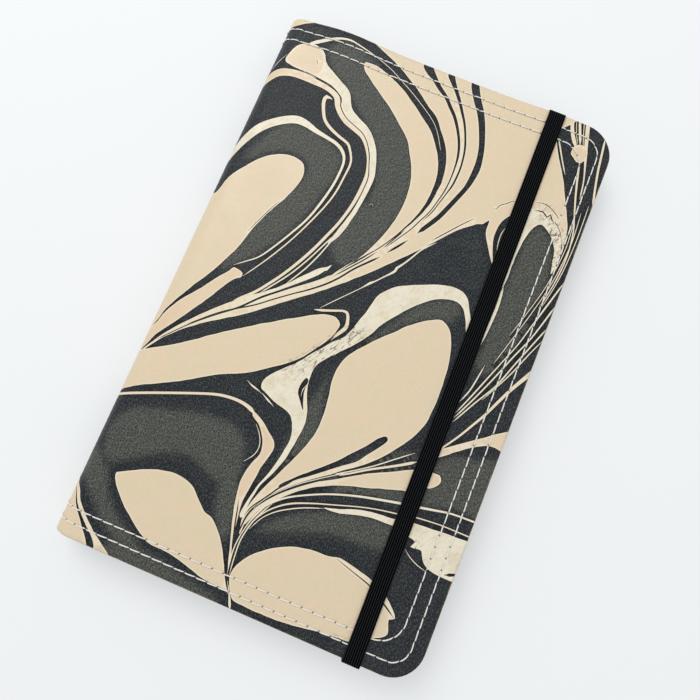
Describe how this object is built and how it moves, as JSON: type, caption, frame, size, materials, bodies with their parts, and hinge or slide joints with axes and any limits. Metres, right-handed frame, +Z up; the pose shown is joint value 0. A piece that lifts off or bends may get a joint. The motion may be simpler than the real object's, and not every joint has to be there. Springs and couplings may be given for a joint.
{
  "type": "elastic_closure_notebook",
  "caption": "Notebook in a rounded-spine leather cover with black, beige and cream marbling, two rows of white edge stitching and a black elastic closure.",
  "frame": {"origin": "centre of the closed notebook's footprint, on the surface it lies on", "axes": "+X from the spine to the fore edge, +Y from the tail to the head, +Z up through the pages from the back cover to the front cover"},
  "size_m": [0.15, 0.2366, 0.0189],
  "materials": {
    "marbled_leather": "satin",
    "dark_print": "satin",
    "olive_print": "satin",
    "cream_print": "satin",
    "lining": "matte",
    "pocket_leather": "satin",
    "thread": "matte",
    "elastic": "matte",
    "board_cloth": "matte",
    "paper": "matte"
  },
  "bodies": {
    "back_cover": {"back_leather": "marbled_leather", "back_lining": "lining", "back_pocket": "pocket_leather", "back_outer_stitches": "thread", "back_inner_stitches": "thread", "elastic_ends": "elastic", "insert_back_board": "board_cloth", "back_endpaper": "paper"},
    "book_block": {"text_block": "paper", "insert_spine": "board_cloth"},
    "front_cover": {"front_leather": "marbled_leather", "front_dark_ink": "dark_print", "front_olive_ink": "olive_print", "front_cream_ink": "cream_print", "front_lining": "lining", "front_pocket": "pocket_leather", "front_outer_stitches": "thread", "front_inner_stitches": "thread", "insert_front_board": "board_cloth", "front_endpaper": "paper"},
    "elastic": {"elastic_band": "elastic"}
  },
  "joints": [
    {"name": "back_hinge", "type": "hinge", "parent": "back_cover", "child": "book_block", "pos_m": [-0.075, 0, 0.0088], "axis": [0, -1, 0], "range_deg": [0, 180]},
    {"name": "front_hinge", "type": "hinge", "parent": "book_block", "child": "front_cover", "pos_m": [-0.075, 0, 0.0088], "axis": [0, -1, 0], "range_deg": [0, 180], "deforming": ["elastic_band"]},
    {"name": "elastic_slide", "type": "slide", "parent": "back_cover", "child": "elastic", "axis": [0, 0, -1], "range_m": [0, 0.0197], "deforming": ["elastic_band"]}
  ],
  "couplings": [
    {"joint": "elastic_slide", "follows": "front_hinge", "m_per_rad": 0.006207}
  ]
}
